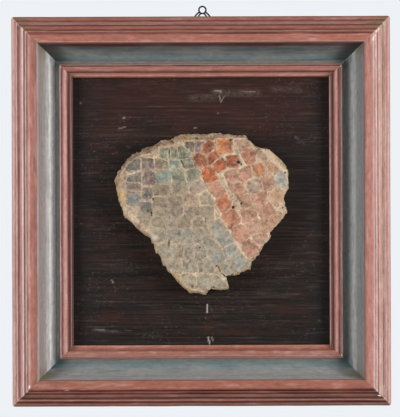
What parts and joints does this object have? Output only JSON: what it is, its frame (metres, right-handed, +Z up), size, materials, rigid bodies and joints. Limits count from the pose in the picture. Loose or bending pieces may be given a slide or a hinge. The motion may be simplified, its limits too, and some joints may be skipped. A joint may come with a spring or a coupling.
{
  "type": "mosaic panel",
  "caption": "Broken piece of stone mosaic in lime mortar, fixed to a dark wooden board inside a moulded, painted wooden frame that hangs from a wire eye",
  "frame": {"origin": "centre of the wire eye at the top of the panel, on the plane of the wall that the panel hangs against", "axes": "+Z up, the front of the panel towards -Y, the wall on the plane y = 0 and behind it, +X to the right as seen from the front"},
  "size_m": [0.4, 0.046, 0.4274],
  "materials": {
    "painted_wood": "pink and blue-grey paint, rubbed, brown in the grooves",
    "dark_wood": "dark brown stain over a horizontal softwood grain",
    "mortar": "cream to tan lime mortar, matt and gritty",
    "blackened_iron": "blackened iron, dull",
    "stone_ash": "cut stone, worn flat, matt",
    "stone_blush": "cut stone, worn flat, matt",
    "stone_brick": "fired clay, unglazed, worn flat",
    "stone_chalk": "cut stone, worn flat, matt",
    "stone_coral": "fired clay, unglazed, worn flat",
    "stone_dun": "cut stone, worn flat, matt",
    "stone_green": "cut stone, worn flat, matt",
    "stone_mist": "cut stone, worn flat, matt",
    "stone_orange": "fired clay, unglazed, worn flat",
    "stone_plum": "cut stone, worn flat, matt",
    "stone_rose": "cut stone, worn flat, matt",
    "stone_slate": "cut stone, worn flat, matt",
    "stone_tan": "cut stone, worn flat, matt",
    "stone_umber": "cut stone, worn flat, matt",
    "stone_wine": "cut stone, worn flat, matt"
  },
  "bodies": {
    "root": {"backboard": "dark_wood", "frame_bottom_rail": "painted_wood", "frame_left_stile": "painted_wood", "frame_right_stile": "painted_wood", "frame_top_rail": "painted_wood", "hanger_screw_left": "blackened_iron", "hanger_screw_right": "blackened_iron", "hanger_wire": "blackened_iron", "mortar_bed": "mortar", "tessera_ash_1": "stone_ash", "tessera_blush_1": "stone_blush", "tessera_brick_1": "stone_brick", "tessera_brick_2": "stone_brick", "tessera_brick_3": "stone_brick", "tessera_brick_4": "stone_brick", "tessera_chalk_1": "stone_chalk", "tessera_coral_1": "stone_coral", "tessera_coral_2": "stone_coral", "tessera_coral_3": "stone_coral", "tessera_coral_4": "stone_coral", "tessera_dun_1": "stone_dun", "tessera_dun_2": "stone_dun", "tessera_dun_3": "stone_dun", "tessera_dun_4": "stone_dun", "tessera_dun_5": "stone_dun", "tessera_green_1": "stone_green", "tessera_green_2": "stone_green", "tessera_green_3": "stone_green", "tessera_green_4": "stone_green", "tessera_green_5": "stone_green", "tessera_green_6": "stone_green", "tessera_mist_1": "stone_mist", "tessera_mist_2": "stone_mist", "tessera_orange_1": "stone_orange", "tessera_orange_2": "stone_orange", "tessera_plum_1": "stone_plum", "tessera_plum_2": "stone_plum", "tessera_plum_3": "stone_plum", "tessera_plum_4": "stone_plum", "tessera_rose_1": "stone_rose", "tessera_rose_10": "stone_rose", "tessera_rose_11": "stone_rose", "tessera_rose_2": "stone_rose", "tessera_rose_3": "stone_rose", "tessera_rose_4": "stone_rose", "tessera_rose_5": "stone_rose", "tessera_rose_6": "stone_rose", "tessera_rose_7": "stone_rose", "tessera_rose_8": "stone_rose", "tessera_rose_9": "stone_rose", "tessera_slate_1": "stone_slate", "tessera_slate_2": "stone_slate", "tessera_slate_3": "stone_slate", "tessera_slate_4": "stone_slate", "tessera_tan_1": "stone_tan", "tessera_tan_2": "stone_tan", "tessera_tan_3": "stone_tan", "tessera_tan_4": "stone_tan", "tessera_umber_1": "stone_umber", "tessera_wine_1": "stone_wine"}
  },
  "joints": []
}
